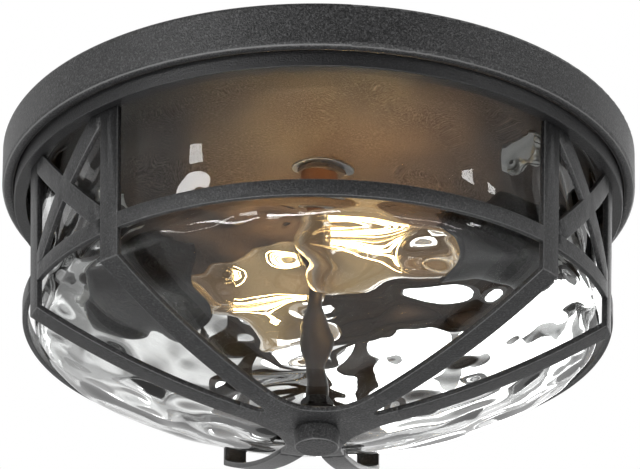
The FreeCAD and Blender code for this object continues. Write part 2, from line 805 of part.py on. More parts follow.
def sector(middle, half_angle):
    """Upright wedge about one direction, wide enough to reach past the cage."""
    reach = 2 * ring_radius
    angles = [math.radians(middle + turn) for turn in (-half_angle, 0, half_angle)]
    floor = hub_bottom
    points = [Vector(reach * math.cos(angle), reach * math.sin(angle), floor) for angle in angles]
    centre = Vector(0, 0, floor)
    return Part.Face(Part.makePolygon([centre] + points + [centre])).extrude(Vector(0, 0, hub_bottom_depth))


def make_cage_hoop(wall, first, second):
    """Piece of the middle hoop that is welded between two straps."""
    gap = (second - first) % 360
    band = washer(ring_radius, fold_radius / 2, -hoop_top_depth, -hoop_top_depth - hoop_height)
    piece = wall.common(band).common(sector(first + gap / 2, gap / 2))
    return piece.cut([strap_block(first, 0), strap_block(second, 0)])


def make_finial_knob():
    """Turned knob with a short neck, a soft lower edge and a blind bore."""
    top = hub_bottom - knob_seat
    bottom = top - knob_height
    bore = rod_radius + thread_clearance
    shoulder = top - knob_neck_height
    return turned([(bore, top, 0), (knob_neck_radius, top, 0), (knob_neck_radius, shoulder, 0),
                   (knob_radius, shoulder, knob_rounding / 4), (knob_radius, bottom, knob_rounding),
                   (0, bottom, 0), (0, top - knob_bore_depth, 0), (bore, top - knob_bore_depth, 0)])


def make_lamp(name, side):
    """Nodes of one lamp: holder pieces and bulb pieces, by name."""
    filaments = on_bulb_axis(Part.makeCompound(filament_shapes()), side)
    return {
        "socket_bracket_" + name: make_socket_bracket(side),
        "socket_nipple_" + name: make_socket_nipple(side),
        "socket_cup_" + name: make_socket_cup(side),
        "socket_body_" + name: make_socket_body(side),
        "socket_shell_" + name: make_socket_shell(side),
        "socket_contact_" + name: make_socket_contact(side),
        "bulb_envelope_" + name: make_bulb_envelope(side),
        "bulb_cap_" + name: make_bulb_cap(side),
        "bulb_insulator_" + name: make_bulb_insulator(side),
        "bulb_eyelet_" + name: make_bulb_eyelet(side),
        "bulb_stem_" + name: on_bulb_axis(stem_shape(), side),
        "bulb_filaments_" + name: filaments,
        "bulb_wires_" + name: make_bulb_wires(side),
    }


def make_cage():
    """Nodes of the welded cage, by name."""
    wall = make_basket_wall()
    angles = strap_angles()
    nodes = {"cage_top_ring": make_cage_top_ring(), "cage_hub": make_cage_hub(wall)}
    for index, angle in enumerate(angles):
        nodes["cage_strap_" + str(index + 1)] = make_cage_strap(wall, angle)
        following = angles[(index + 1) % len(angles)]
        kind = "short" if index % 2 == 0 else "long"
        nodes["cage_hoop_" + kind + "_" + str(index // 2 + 1)] = make_cage_hoop(wall, angle, following)
    for side in range(cage_sides):
        nodes["cage_brace_" + str(side + 1)] = make_cage_brace(wall, side)
    return nodes


def make_nodes():
    """Every node of the light, by name."""
    nodes = {
        "ceiling_pan": make_ceiling_pan(),
        "wire_bushings": make_wire_bushings(),
        "crossbar": make_crossbar(),
        "ground_screw": make_ground_screw(),
        "center_rod": make_center_rod(),
        "rod_tube": make_rod_tube(),
        "rod_nuts": make_rod_nuts(),
        "pan_washer": make_pan_washer(),
        "bracket_screws": make_bracket_screws(),
        "bracket_nuts": make_bracket_nuts(),
        "socket_nuts": make_socket_nuts(),
        "glass_bowl": make_glass_bowl(),
        "glass_washer": make_glass_washer(),
        "finial_knob": make_finial_knob(),
    }
    nodes.update(make_lamp("left", -1))
    nodes.update(make_lamp("right", 1))
    nodes.update(make_cage())
    return nodes


os.makedirs("parts", exist_ok=True)
for node_name, node_shape in make_nodes().items():
    node_shape.exportStep("parts/" + node_name + ".step")
    print(node_name, len(node_shape.Solids), "solids", round(node_shape.Volume), "mm3", node_shape.isValid())
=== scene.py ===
# %% [markdown]
# # A caged ceiling light in rippled glass
# The light hangs under a ceiling: a black pan, a welded cage of flat bar, a thick
# glass bowl with thumb-wide ripples, and two clear filament bulbs beside a centre rod.
# The engineering model is loaded first. It fixes nearly every size, so the rest of this
# lesson only adds finishes and the shapes that need a finer surface.

# %% Load the engineering model
import json
import math

import bmesh
import bpy
import numpy as np
from mathutils import Matrix, Vector
from mathutils.bvhtree import BVHTree


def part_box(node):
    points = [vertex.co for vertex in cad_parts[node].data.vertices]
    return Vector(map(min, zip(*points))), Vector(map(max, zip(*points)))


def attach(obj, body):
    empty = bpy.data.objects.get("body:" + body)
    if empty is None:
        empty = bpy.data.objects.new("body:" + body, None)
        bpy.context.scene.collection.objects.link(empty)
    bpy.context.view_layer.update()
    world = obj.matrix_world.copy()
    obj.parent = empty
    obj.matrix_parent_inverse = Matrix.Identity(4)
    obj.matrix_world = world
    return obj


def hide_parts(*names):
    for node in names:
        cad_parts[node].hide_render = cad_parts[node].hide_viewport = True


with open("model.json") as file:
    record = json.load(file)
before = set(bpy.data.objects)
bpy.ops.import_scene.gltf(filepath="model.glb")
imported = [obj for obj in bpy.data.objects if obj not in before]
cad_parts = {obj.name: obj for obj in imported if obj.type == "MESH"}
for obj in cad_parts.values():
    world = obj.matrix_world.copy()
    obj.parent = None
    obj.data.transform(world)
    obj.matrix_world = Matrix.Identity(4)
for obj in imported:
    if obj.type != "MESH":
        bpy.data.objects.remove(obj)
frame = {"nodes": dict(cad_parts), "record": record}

mm = 0.001
scene = bpy.context.scene
nodes = frame["nodes"]
subparts = frame["record"]["subparts"]
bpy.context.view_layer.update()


# %% [markdown]
# ## The camera
# The photograph looks up at the light from below with a long lens, two metres away.
# The camera's place is given by the angle it looks up at, the side it stands on and
# the point of the centre rod that it aims at. A small roll levels the pan as in the photo.

# %% Camera
camera_distance = 2.0
camera_climb = math.radians(26.27)
camera_side = math.radians(3.25)
camera_roll = math.radians(0.4)
camera_pivot = Vector((0, 0, -60 * mm))
camera_aim = Vector((0.9 * mm, 0, -43.9 * mm))
sensor_width = 36
focal_pixels = 3869
picture_width = 640


def placed(name, data):
    """New object around a camera, a lamp or a mesh, put into the scene."""
    made = bpy.data.objects.new(name, data)
    scene.collection.objects.link(made)
    return made


away = Vector((-math.sin(camera_side) * math.cos(camera_climb),
               -math.cos(camera_side) * math.cos(camera_climb), -math.sin(camera_climb)))
camera_place = camera_pivot + away * camera_distance
forward = (camera_aim - camera_place).normalized()
level_right = forward.cross(Vector((0, 0, 1))).normalized()
level_up = level_right.cross(forward)
right = level_right * math.cos(camera_roll) + level_up * math.sin(camera_roll)
up = level_up * math.cos(camera_roll) - level_right * math.sin(camera_roll)

lens = bpy.data.cameras.new("camera")
lens.sensor_width = sensor_width
lens.lens = sensor_width * focal_pixels / picture_width
lens.clip_start = 0.1
lens.clip_end = 100
camera = placed("camera", lens)
camera.matrix_world = Matrix((right, up, -forward)).transposed().to_4x4()
camera.location = camera_place
scene.camera = camera
print("camera at", [round(v, 3) for v in camera_place], "lens", round(lens.lens, 1), "mm")

# %% [markdown]
# ## Writing node nets as sums
# Light and finishes are nets of small nodes. They could be put together by hand in the
# node editor, but written as Python sums they read like a recipe: the class Socket wraps
# the output of a node, and +, -, *, < and abs on it add Math nodes. One method of the
# class Net adds every kind of node.

# %% Sockets as values
class Socket:
    """Output of a node that can be used in a sum."""

    def __init__(self, net, output):
        self.net = net
        self.output = output

    def maths(self, operation, *values):
        """Math node of one or two values."""
        return self.net.node("ShaderNodeMath", {"operation": operation}, dict(enumerate(values)))

    def __add__(self, other):
        return self.maths("ADD", self, other)

    def __radd__(self, other):
        return self.maths("ADD", other, self)

    def __sub__(self, other):
        return self.maths("SUBTRACT", self, other)

    def __rsub__(self, other):
        return self.maths("SUBTRACT", other, self)

    def __mul__(self, other):
        return self.maths("MULTIPLY", self, other)

    def __rmul__(self, other):
        return self.maths("MULTIPLY", other, self)

    def __lt__(self, other):
        return self.maths("LESS_THAN", self, other)

    def __abs__(self):
        return self.maths("ABSOLUTE", self)

    def least(self, other):
        return self.maths("MINIMUM", self, other)

    def greatest(self, other):
        return self.maths("MAXIMUM", self, other)

    def stepped(self, low, high, first=0.0, last=1.0):
        """Smooth step: first where the value is up to low, last where it is from high on."""
        return self.net.node("ShaderNodeMapRange", {"interpolation_type": "SMOOTHSTEP"},
                             {"Value": self, "From Min": low, "From Max": high,
                              "To Min": first, "To Max": last})


class Net:
    """Nodes of a world or a material, filled from empty."""

    def __init__(self, tree):
        self.tree = tree
        tree.nodes.clear()

    def node(self, kind, settings, values, output=0):
        """Adds a node: its settings first, then the values or links of its sockets."""
        made = self.tree.nodes.new(kind)
        for key, value in settings.items():
            setattr(made, key, value)
        for key, value in values.items():
            if isinstance(value, Socket):
                self.tree.links.new(value.output, made.inputs[key])
            else:
                made.inputs[key].default_value = value
        return Socket(self, made.outputs[output]) if made.outputs else None

    def axis(self, place, letter):
        """One coordinate of a place or a direction."""
        return self.node("ShaderNodeSeparateXYZ", {}, {0: place}, letter)

    def chosen(self, switch, first, last):
        """First where the switch is 0, last where it is 1."""
        return self.node("ShaderNodeMix", {}, {0: switch, 2: first, 3: last})


# %% [markdown]
# ## Light, floor and background
# A studio light for a black object with clear glass needs two things: a soft even
# light that shows the coat, and a few bright softboxes that the glass can mirror.
# The background is white to the eye, but gives the object only a moderate light, so
# the light level doesn't depend on the backdrop. In mirrors it is dark on the camera's
# side. Seen through glass it is white in a small window of directions and grey round it,
# because a ripple shows only where it bends the view from a white place to a grey one.
# A real studio has a white sweep below; here a pale floor far down takes its part. It
# shines white to the eye and through the glass, and is dull in all other views.

# %% Kinds of ray
def before_any(net, depth):
    """1 for a ray that has met no surface of the kind that the depth counts, 0 after one."""
    return net.node("ShaderNodeLightPath", {}, {}, depth) < 0.5


def seen_as(net, *kinds):
    """1 for the named kinds of ray that no dull surface has scattered, 0 for the others."""
    either = net.node("ShaderNodeLightPath", {}, {}, kinds[0])
    for kind in kinds[1:]:
        either = either.greatest(net.node("ShaderNodeLightPath", {}, {}, kind))
    return either * before_any(net, "Diffuse Depth")


# %% World
white_level = 1.0
ambient_level = 0.4
back_level = 0.8
steep_side = 0.3
dark_side = 0.1
window_x = (-0.1, 0.02, 0.05, 0.17)
window_z = (0.32, 0.43, 0.44, 0.54)


def window(coordinate, edges):
    """White between the two middle edges, and grey before the first and after the last.

    The coordinate is one of the three of a direction one unit long.
    """
    before = coordinate.stepped(*edges[:2], steep_side, white_level)
    return before.least(coordinate.stepped(*edges[2:], white_level, dark_side))


scene.view_settings.view_transform = "Standard"
scene.world = bpy.data.worlds.new("studio")
scene.world.use_nodes = True
net = Net(scene.world.node_tree)
way = net.node("ShaderNodeTexCoord", {}, {}, "Generated")
mirrored = net.axis(way, "Y").stepped(-0.2, 0.6, dark_side, back_level)
through = window(net.axis(way, "Z"), window_z).least(window(net.axis(way, "X"), window_x))
by_direction = net.chosen(before_any(net, "Glossy Depth"), mirrored, through)
strength = net.chosen(seen_as(net, "Is Glossy Ray", "Is Transmission Ray"), ambient_level,
                      by_direction)
strength = net.chosen(seen_as(net, "Is Camera Ray"), strength, white_level)
background = net.node("ShaderNodeBackground", {}, {"Color": (1, 1, 1, 1), "Strength": strength})
net.node("ShaderNodeOutputWorld", {}, {"Surface": background})
print("world of", len(net.tree.nodes), "nodes")

# %% Floor
floor_depth = 4.6
floor_reach = 14.0
floor_tone = 0.8
floor_mesh = bpy.data.meshes.new("floor")
floor_mesh.from_pydata([(x * floor_reach, y * floor_reach, -floor_depth)
                        for x, y in ((-1, -1), (1, -1), (1, 1), (-1, 1))], [], [(0, 1, 2, 3)])
floor = placed("floor", floor_mesh)

pale = bpy.data.materials.new("pale_floor")
pale.use_nodes = True
net = Net(pale.node_tree)
soft = net.node("ShaderNodeBsdfDiffuse", {}, {"Color": (floor_tone, floor_tone, floor_tone, 1)})
bright = net.node("ShaderNodeEmission", {}, {"Color": (1, 1, 1, 1)})
shining = (seen_as(net, "Is Camera Ray", "Is Transmission Ray")
           * before_any(net, "Glossy Depth"))
blend = net.node("ShaderNodeMixShader", {}, {0: shining, 1: soft, 2: bright})
net.node("ShaderNodeOutputMaterial", {}, {"Surface": blend})
floor_mesh.materials.append(pale)
print("floor", floor_depth, "m below the ceiling")

# %% [markdown]
# The softboxes stand where the pale reflections on pan, bars and glass ask for them: a
# key from the left, a fill from the right, three low ones for the bowl and one behind.

# %% Softboxes
light_middle = (0, 0, -0.08)


def softbox(name, place, size, brightness, aim=light_middle, colour=(1, 1, 1)):
    """Rectangular lamp of an even brightness, where 1 is the white of paper."""
    lamp = bpy.data.lights.new(name, "AREA")
    lamp.shape = "RECTANGLE"
    lamp.size, lamp.size_y = size
    lamp.energy = brightness * math.pi * size[0] * size[1]
    lamp.color = colour
    box = placed(name, lamp)
    box.rotation_mode = "QUATERNION"
    box.rotation_quaternion = (Vector(aim) - Vector(place)).to_track_quat("-Z", "Y")
    box.location = place
    return box


softbox("key_left", (-1.7, -1.5, 0.5), size=(0.45, 0.75), brightness=12.3)
softbox("fill_right", (1.8, -1.1, 0.2), size=(0.25, 0.75), brightness=11.0)
softbox("low_front", (-0.4, -1.9, -1.9), size=(0.8, 0.35), brightness=20.0)
softbox("low_left", (-1.5, -1.2, -2.1), size=(1.2, 0.2), brightness=17.0)
softbox("low_right", (1.5, -1.3, -2.1), size=(1.0, 0.2), brightness=11.0)
softbox("back_rim", (0.6, 1.9, 0.6), size=(1.0, 0.6), brightness=3.0)
print("softboxes:", len(bpy.data.lights))

# %% [markdown]
# The bulbs are lit, and colour the pan's deck brown through their glass. A renderer finds
# that light only by chance, with much noise, so warm lamps just above the bulbs stand in
# for it: one broad one, and a small one over each bulb. They are seen by no eye or mirror.

# %% Warm light of the bulbs
warm_colour = (1.0, 0.47, 0.14)
warm_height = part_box("bulb_envelope_left")[1][2] + 3 * mm
warm_lamps = [((12 * mm, 10 * mm), (0.11, 0.2), 4.4)]
for side in ("left", "right"):
    low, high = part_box("bulb_envelope_" + side)
    warm_lamps.append((((low[0] + high[0]) / 2, (low[1] + high[1]) / 2), (0.05, 0.04), 6.0))
for count, (place, size, brightness) in enumerate(warm_lamps):
    warm = softbox("warm_%d" % count, (*place, warm_height), size, brightness, (*place, 0),
                   warm_colour)
    warm.visible_glossy = False
    warm.visible_transmission = False
    warm.visible_camera = False
print("warm lamps:", len(warm_lamps), "at", round(float(warm_height) / mm, 1), "mm")

# %% [markdown]
# ## The finishes
# Each finish ends in one principled surface. Its patterns read the position on the piece,
# so a grain has its true size on every piece and goes round corners without a seam.

# %% Materials
def opaque(colour):
    """Colour of three numbers with a full alpha; a socket stays as it is."""
    return colour if isinstance(colour, Socket) else (*colour, 1)


class Finish(Net):
    """One material and the nodes that make it."""

    def __init__(self, name):
        self.material = bpy.data.materials.new(name)
        self.material.use_nodes = True
        super().__init__(self.material.node_tree)

    def place(self):
        """Position on the piece, in metres."""
        return self.node("ShaderNodeTexCoord", {}, {}, "Object")

    def noise(self, place, per_metre, detail=2.0, roughness=0.5):
        """Cloudy pattern from 0 to 1 with so many clouds to the metre."""
        return self.node("ShaderNodeTexNoise", {}, {"Vector": place, "Scale": per_metre,
                                                    "Detail": detail, "Roughness": roughness},
                         "Fac")

    def mixed(self, share, first, second):
        """Blend of two colours."""
        return self.node("ShaderNodeMix", {"data_type": "RGBA"},
                         {0: share, 6: opaque(first), 7: opaque(second)}, 2)

    def bump(self, height, depth):
        """Normal of a surface with a height from 0 to 1, depth metres deep."""
        return self.node("ShaderNodeBump", {},
                         {"Height": height, "Strength": 1.0, "Distance": depth})

    def surface(self, colour, roughness, metallic=0.0, **more):
        """Ends the net in one principled surface."""
        values = {"Base Color": opaque(colour), "Roughness": roughness, "Metallic": metallic}
        values.update({key.replace("_", " "): value for key, value in more.items()})
        shader = self.node("ShaderNodeBsdfPrincipled", {}, values)
        self.node("ShaderNodeOutputMaterial", {}, {"Surface": shader})
        return self.material


# %% [markdown]
# The pan, cage, knob and cups share one powder coat: charcoal black, matte, with a fine
# grain that a fingernail can feel. The grain is a bump, and wider clouds vary its gloss.
# A painted highlight lightens the rounded edges of bars and sheets, and the lowest bend of
# the pan and the knob, into a pale line. The hub and knob are painted lighter for the light
# from below, the ring painted darker for the shade under the lip, and the pan's specks are a
# little paler.

# %% Powder coat
coat_black = (0.007, 0.0071, 0.0076)
# Pale grey that is painted into the coat as a highlight on edges and bends.
painted_highlight_grey = (0.19, 0.19, 0.19)


def powder_coat(name, pale, painted_highlight_share):
    """Grain of about 0.9 mm with specks as light as pale, under clouds of 20 mm.

    The last argument takes the finish and its place, and gives 1 where a pale highlight is painted
    in.
    """
    finish = Finish(name)
    place = finish.place()
    grain = finish.noise(place, per_metre=1150, detail=2.0, roughness=0.6)
    clouds = finish.noise(place, per_metre=45, detail=3.0, roughness=0.55)
    specks = finish.noise(place, per_metre=900, detail=1.0, roughness=0.6).stepped(0.55, 0.66)
    colour = finish.mixed(grain.stepped(0.4, 0.62) * 0.45 + clouds * 0.1 + specks * 0.6,
                          coat_black, (pale, pale, pale + 0.002))
    # Painted highlight: pale grey mixed into the colour on edges and bends.
    colour = finish.mixed(painted_highlight_share(finish, place), colour, painted_highlight_grey)
    return finish.surface(colour, clouds * 0.1 + grain * 0.16 + 0.3, IOR=1.7,
                          Normal=finish.bump(grain, 0.4 * mm))


def even_painted_highlight(share):
    """Painted highlight of the same share all over."""
    return lambda finish, place: share


def highlight_on_lowest_bend(node, start, end):
    """Painted highlight line between two heights above a turned piece's lowest face."""
    lowest = float(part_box(node)[0][2])
    edge = 0.3 * mm

    def painted_highlight_share(finish, place):
        above = finish.axis(place, "Z") - lowest
        return above.stepped(start, start + edge) * (1 - above.stepped(end - edge, end)) * 0.8

    return painted_highlight_share


black_coat = powder_coat("charcoal_powder_coat", 0.066, even_painted_highlight(0.0))
edge_highlight_coat = powder_coat("charcoal_powder_coat_with_painted_edge_highlight", 0.09, even_painted_highlight(0.35))
# Lit and shaded copies of the coat: hub and knob painted lighter for the light from below, the
# ring painted darker for the shade under the lip. Pan and knob also carry a painted highlight line
# on their lowest bend.
lit_and_shaded_coats = {
    "ceiling_pan": powder_coat("charcoal_powder_coat_pan_with_painted_highlight", 0.088,
                               highlight_on_lowest_bend("ceiling_pan", 0.4 * mm, 1.3 * mm)),
    "finial_knob": powder_coat("charcoal_powder_coat_knob_painted_lighter_with_highlight", 0.085,
                               highlight_on_lowest_bend("finial_knob", 0.15 * mm, 0.8 * mm)),
    "cage_hub": powder_coat("charcoal_powder_coat_hub_painted_lighter", 0.11, even_painted_highlight(0.0)),
    "cage_top_ring": powder_coat("charcoal_powder_coat_ring_painted_shade", 0.022, even_painted_highlight(0.0))}
print("powder coats:", 2 + len(lit_and_shaded_coats))

# %% [markdown]
# Through the ripples only the tone of the metals shows, but from above the bar, nuts and
# screws are in plain view. Zinc has a faint grain, brass is smoother and warmer.

# %% Metals and plastics
def rolled_metal(name, colour, dark, roughness):
    """Bright metal with faint clouds and a fine grain."""
    finish = Finish(name)
    place = finish.place()
    clouds = finish.noise(place, per_metre=160, detail=3.0)
    grain = finish.noise(place, per_metre=2400)
    tone = finish.mixed(clouds.stepped(0.3, 0.8), colour, dark)
    return finish.surface(tone, clouds * 0.12 + roughness, 1.0,
                          Normal=finish.bump(grain, 0.03 * mm))


def moulded(name, colour, pale, roughness):
    """Plastic, rubber or paint with a slight mottle."""
    finish = Finish(name)
    grain = finish.noise(finish.place(), per_metre=900)
    return finish.surface(finish.mixed(grain * 0.5, colour, pale), grain * 0.1 + roughness,
                          Normal=finish.bump(grain, 0.06 * mm))


by_slot = {
    "zinc_steel": rolled_metal("bright_zinc", (0.62, 0.62, 0.6), (0.48, 0.48, 0.47), 0.28),
    "brass": rolled_metal("rolled_brass", (0.78, 0.58, 0.28), (0.62, 0.45, 0.2), 0.24),
    "solder": rolled_metal("dull_solder", (0.5, 0.5, 0.5), (0.4, 0.4, 0.4), 0.4),
    "wire": rolled_metal("bare_wire", (0.66, 0.63, 0.58), (0.5, 0.48, 0.45), 0.25),
    "black_plastic": moulded("black_moulding", (0.012, 0.012, 0.012), (0.03, 0.03, 0.03), 0.4),
    "rubber": moulded("black_rubber", (0.010, 0.010, 0.010), (0.022, 0.022, 0.022), 0.65),
    "green_screw": moulded("green_screw", (0.02, 0.16, 0.05), (0.04, 0.24, 0.08), 0.35),
    # The rod is dark paint, with a brown tint that is painted warm light from the bulbs.
    "dark_tube": moulded("dark_rod_paint_with_painted_warm_tint", (0.045, 0.026, 0.014), (0.075, 0.045, 0.024), 0.3)}
print("metals and plastics:", len(by_slot))

# %% [markdown]
# Clear glass is a principled surface that lets all light through and bends it. The
# filaments glow in a grainy yellow. To the eye a lit filament has a glare round it, which
# a renderer leaves out, so the bulb's glass glows faintly, most before the filaments.

# %% Glass and glow
glare_near = (1.0, 0.72, 0.36)
glare_far = (0.25, 0.15, 0.06)
glare_strength = 0.065
filament_strength = 50.0


def clear_glass(name, tint, bend, filament_reach=None):
    """Glass with faint waviness, no more than a breath of colour, and the glare of a filament.

    The glare is left out unless the distance from rod to filaments, both along X, is given.
    """
    finish = Finish(name)
    place = finish.place()
    more = {"Transmission_Weight": 1.0}
    if filament_reach is not None:
        off_middle = abs(abs(finish.axis(place, "X")) - filament_reach)
        near = 1 - off_middle.stepped(4 * mm, 24 * mm)
        more["Emission_Color"] = finish.mixed(near, glare_far, glare_near)
        more["Emission_Strength"] = glare_strength
    wave = finish.bump(finish.noise(place, per_metre=60, detail=1.0), 0.08 * mm)
    return finish.surface(tint, 0.0, IOR=bend, Normal=wave, **more)


def glowing_thread():
    """Filament: deep yellow, with a grainy glow."""
    finish = Finish("glowing_filament")
    grain = finish.noise(finish.place(), per_metre=500, detail=1.0)
    glow = finish.mixed(grain, (1.0, 0.62, 0.2), (1.0, 0.8, 0.45))
    return finish.surface((0.9, 0.6, 0.15), 0.5, Emission_Color=glow,
                          Emission_Strength=filament_strength)


filament_low, filament_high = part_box("bulb_filaments_left")
filament_reach = abs(float(filament_low[0] + filament_high[0])) / 2
bowl_glass = clear_glass("rippled_clear_glass", (0.985, 0.995, 0.99), 1.5)
bulb_glass = clear_glass("bulb_clear_glass", (1.0, 0.99, 0.96), 1.45, filament_reach)
filament_glow = glowing_thread()
print("filaments' middles", round(filament_reach / mm, 1), "mm from the rod")

# %% [markdown]
# ## Dressing the engineering pieces
# Most nodes already have their true shape, so they only need their finish.

# %% Finishes on nodes
by_slot.update(black_coat=black_coat, rippled_glass=bowl_glass, bulb_glass=bulb_glass,
               filament=filament_glow)
for part in subparts:
    mesh = nodes[part["node"]].data
    mesh.materials.clear()
    # Pieces with a lit or shaded copy of the coat take it; the others take their slot's finish.
    mesh.materials.append(lit_and_shaded_coats.get(part["node"], by_slot[part["material_slot"]]))
print("dressed", len(subparts), "nodes")

# %% [markdown]
# ## Rounded edges
# Flat bar is rolled with rounded edges, and sheet that was cut has a small burr-free
# radius. A lit edge shows as a thin pale line, which is half of what makes metal look
# real. The copy of a node is merged first, so that its faces share their corners. A Bevel
# modifier then rounds the sharp edges, except those that are welded to another bar.

# %% Rounded bars and sheets
merged_within = 0.003 * mm
welded_within = 0.06 * mm
flat_within = math.radians(0.4)
sharp_from = math.radians(38)
bar_rounding = 0.4 * mm
sheet_rounding = 0.3 * mm
bodies = frame["record"]["behaviour"]["bodies"]
body_of = {node: body for body, names in bodies.items() for node in names}
slot_of = {part["node"]: part["material_slot"] for part in subparts}


def skin_of(node):
    """Search tree of a node's faces."""
    mesh = nodes[node].data
    return BVHTree.FromPolygons([vertex.co for vertex in mesh.vertices],
                                [list(face.vertices) for face in mesh.polygons])


def rounded(node, radius, neighbours=()):
    """Copy of a node whose sharp edges are rounded to a radius; it takes the node's place.

    An edge that lies on a neighbour is welded to it, so it stays as it is.
    """
    mesh = nodes[node].data.copy()
    mesh.name = node + "_rounded"
    shape = bmesh.new()
    shape.from_mesh(mesh)
    bmesh.ops.remove_doubles(shape, verts=shape.verts, dist=merged_within)
    bmesh.ops.dissolve_limit(shape, angle_limit=flat_within, verts=shape.verts,
                             edges=shape.edges)
    for face in shape.faces:
        face.smooth = True
    weight = shape.edges.layers.float.new("bevel_weight_edge")
    for edge in shape.edges:
        middle = (edge.verts[0].co + edge.verts[1].co) / 2
        welded = any(skin.find_nearest(middle, welded_within)[0] is not None
                     for skin in neighbours)
        bent = len(edge.link_faces) == 2 and edge.calc_face_angle() > sharp_from
        edge[weight] = 1.0 if bent and not welded else 0.0
    shape.to_mesh(mesh)
    shape.free()
    piece = placed(node + "_rounded", mesh)
    bevel = piece.modifiers.new("rounding", "BEVEL")
    bevel.width = radius
    bevel.segments = 2
    bevel.limit_method = "WEIGHT"
    # The bevel faces of coated pieces take the coat with the painted edge highlight.
    if slot_of[node] == "black_coat":
        mesh.materials.append(edge_highlight_coat)
        bevel.material = 1
    bevel.use_clamp_overlap = False
    bevel.harden_normals = True
    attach(piece, body_of[node])
    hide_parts(node)


bars = [node for node in nodes
        if node.startswith(("cage_strap", "cage_hoop", "cage_brace", "cage_hub"))]
sheets = ["crossbar", "socket_bracket_left", "socket_bracket_right"]
skins = {node: skin_of(node) for node in bars + ["cage_top_ring"]}
for node in bars:
    rounded(node, bar_rounding, [skin for other, skin in skins.items() if other != node])
for node in sheets:
    rounded(node, sheet_rounding)
print("rounded", len(bars), "bars and", len(sheets), "sheets")

# %% [markdown]
# ## The ring under the lip
# The copy of the ring is drawn up towards the lip at its upper edge. This dark band closes the
# hair's breadth between ring and lip, where only shade shows, so the warm-lit deck doesn't show
# through.

# %% Ring under the lip
ring_edge = 0.7 * mm
ring_side = 1 * mm
shade_band_rise = 1.6 * mm
ring_spread = 0.15 * mm
ring_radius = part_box("cage_top_ring")[1][0]


def points_of(mesh):
    """Places of a mesh's points, one in a row."""
    points = np.empty(len(mesh.vertices) * 3)
    mesh.vertices.foreach_get("co", points)
    return points.reshape(-1, 3)


ring_mesh = nodes["cage_top_ring"].data.copy()
ring_points = points_of(ring_mesh)
upper = ring_points[:, 2] > ring_points[:, 2].max() - ring_edge
outer = np.hypot(ring_points[:, 0], ring_points[:, 1]) > ring_radius - ring_side
# The raised upper edge is a dark band that stands in for the shade in the gap under the lip.
ring_points[upper, 2] += shade_band_rise
ring_points[upper & outer, :2] *= 1 + ring_spread / ring_radius
ring_mesh.vertices.foreach_set("co", ring_points.ravel())
ring_mesh.update()
ring = placed("ring_with_dark_band_for_shade", ring_mesh)
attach(ring, "cage")
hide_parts("cage_top_ring")
print("ring drawn up to", round(float(ring_points[:, 2].max()) / mm, 2), "mm")

# %% [markdown]
# ## Surfaces on a grid
# Every new shape is a grid of points worked out in one go. A turned piece is a closed
# outline, carried round the axis: rows follow the outline and columns go round.

# %% Grid surface
def grid_faces(rows, columns):
    """Quads of a grid that joins up with itself in both directions."""
    row = np.arange(rows)[:, None]
    column = np.arange(columns)[None, :]
    next_row = (row + 1) % rows
    next_column = (column + 1) % columns
    corners = [row * columns + column, row * columns + next_column,
               next_row * columns + next_column, next_row * columns + column]
    return np.stack(corners, -1).reshape(-1, 4)


def held_volume(points):
    """Volume inside a closed grid; it is positive where the faces look outward."""
    corners = points.reshape(-1, 3)[grid_faces(*points.shape[:2])]
    first = np.einsum("ij,ij->i", corners[:, 0], np.cross(corners[:, 1], corners[:, 2]))
    second = np.einsum("ij,ij->i", corners[:, 0], np.cross(corners[:, 2], corners[:, 3]))
    return float(first.sum() + second.sum()) / 6


def facing_out(grid):
    """The grid, with its rows in the order that makes its faces look outward."""
    return grid if held_volume(grid) > 0 else grid[::-1]


def grid_piece(name, grids, material, body, replaced):
    """Piece from grids of shape (rows, columns, 3); each joins up with itself both ways."""
    grids = np.asarray(grids)
    rows, columns = grids.shape[1:3]
    faces = np.concatenate([grid_faces(rows, columns) + rows * columns * count
                            for count in range(len(grids))])
    mesh = bpy.data.meshes.new(name)
    mesh.from_pydata(grids.reshape(-1, 3), [], faces)
    mesh.polygons.foreach_set("use_smooth", np.ones(len(mesh.polygons), dtype=bool))
    mesh.materials.append(material)
    mesh.update()
    piece = placed(name, mesh)
    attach(piece, body)
    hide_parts(*replaced)
    print(name, len(mesh.polygons) * 2, "triangles, holding",
          round(sum(map(held_volume, grids)) * 1e9), "mm3")


# %% Lines that make up an outline
def arc_points(centre, radius, start, end, count):
    """Points on an arc, without its last one; angles in radians from the radial way."""
    angle = np.linspace(start, end, count, endpoint=False)
    return np.stack([centre[0] + radius * np.cos(angle), centre[1] + radius * np.sin(angle)], -1)


def line_points(start, end, count):
    """Points on a line, without its last one."""
    share = np.linspace(0, 1, count, endpoint=False)[:, None]
    return np.array(start) * (1 - share) + np.array(end) * share


def beside(line):
    """Way to the right of a closed line at each of its points, one unit long."""
    run = np.roll(line, -1, 0) - np.roll(line, 1, 0)
    run /= np.linalg.norm(run, axis=1)[:, None]
    return np.stack([run[:, 1], -run[:, 0]], -1)


# %% [markdown]
# ## The rippled bowl
# The real bowl is pressed in a mould with soft dents outside and wider swellings inside. Each
# is a small lens: a dent draws what lies behind together, a swelling spreads it into streaks.
# A bump would only shade the surface; a real dent in the mesh bends the light as well. So the
# wall's outline is turned round the axis, and each point then moves by a sum of smooth round
# dents whose centres are spread over the bowl. The outline is drawn twice: as the engineering
# bowl has it, and with the flatter dome and the smaller shoulder radius of the photographed
# one, which is fuller by a few millimetres there.

